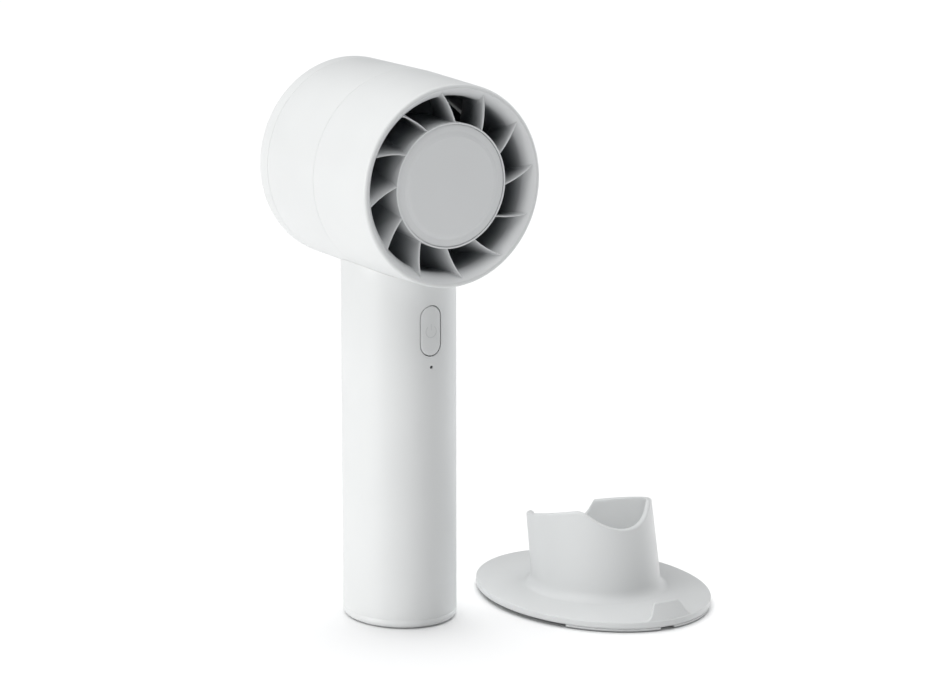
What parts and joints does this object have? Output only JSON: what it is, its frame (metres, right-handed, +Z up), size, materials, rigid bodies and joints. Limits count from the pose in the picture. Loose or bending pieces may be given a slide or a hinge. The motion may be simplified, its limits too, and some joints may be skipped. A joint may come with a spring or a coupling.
{
  "type": "handheld fan",
  "caption": "Hand-held turbo fan: oval upright handle with a flush power button, a short drum head with curved guide vanes round a flat hub, and a separate oval docking stand.",
  "frame": {"origin": "centre of the flat face under the handle, where the fan stands", "axes": "+Z up the handle, -Y the way the fan blows, +X across the head towards the docking stand"},
  "size_m": [0.1358, 0.0988, 0.1842],
  "materials": {
    "white_shell": "satin injection-moulded white plastic",
    "white_inner": "matt white plastic",
    "dark_inner": "matt dark grey plastic",
    "button_white": "matt white plastic",
    "frame_grey": "matt grey plastic",
    "steel": "bright steel",
    "dark_steel": "dark steel",
    "copper": "enamelled copper wire",
    "aluminium": "cast aluminium",
    "cell_sleeve": "shrink sleeve over a steel cell",
    "board": "solder mask",
    "black_plastic": "matt black plastic",
    "black_rubber": "matt black rubber",
    "lens": "smoked clear plastic",
    "red_lead": "red wire insulation",
    "black_lead": "black wire insulation"
  },
  "bodies": {
    "fan_body": {"handle_shell": "white_shell", "bottom_cap": "white_shell", "head_front_shell": "white_shell", "guide_vanes": "white_shell", "hub_cap": "white_shell", "head_rear_shell": "white_shell", "rear_bezel": "white_shell", "rear_grille": "white_inner", "duct_liner": "dark_inner", "battery_cell": "cell_sleeve", "battery_cradle": "frame_grey", "contact_bottom": "steel", "contact_top": "steel", "main_board": "board", "charge_socket": "steel", "charge_tongue": "black_plastic", "charge_chip": "black_plastic", "switch_board": "board", "indicator_led": "white_inner", "indicator_lens": "lens", "switch_body": "black_plastic", "neck_plate": "frame_grey", "neck_screw_1": "steel", "neck_screw_2": "steel", "motor_lead_red": "red_lead", "motor_lead_black": "black_lead", "motor_screw_1": "steel", "motor_screw_2": "steel", "motor_screw_3": "steel", "motor_base": "aluminium", "bearing_front": "steel", "bearing_rear": "steel", "stator_core": "dark_steel", "stator_coil_1": "copper", "stator_coil_2": "copper", "stator_coil_3": "copper", "stator_coil_4": "copper", "stator_coil_5": "copper", "stator_coil_6": "copper"},
    "rotor": {"motor_shaft": "steel", "rotor_bell": "dark_steel", "magnet_ring": "black_rubber", "impeller": "dark_inner", "impeller_nut": "steel"},
    "button": {"power_button": "button_white", "switch_plunger": "black_rubber"},
    "stand": {"stand_shell": "white_shell", "stand_base": "white_shell", "stand_weight": "dark_steel", "stand_screw_1": "steel", "stand_screw_2": "steel", "stand_foot_1": "black_rubber", "stand_foot_2": "black_rubber", "stand_foot_3": "black_rubber", "stand_foot_4": "black_rubber"}
  },
  "joints": [
    {"name": "impeller_spin", "type": "hinge", "parent": "fan_body", "child": "rotor", "pos_m": [0, 0, 0.1504], "axis": [0, 1, 0], "continuous": true},
    {"name": "button_press", "type": "slide", "parent": "fan_body", "child": "button", "axis": [0, 1, 0], "range_m": [0, 0.0004], "stiffness_N_per_m": 600},
    {"name": "stand_shift", "type": "slide", "parent": "fan_body", "child": "stand", "axis": [1, 0, 0], "range_m": [0, 0.06]}
  ]
}
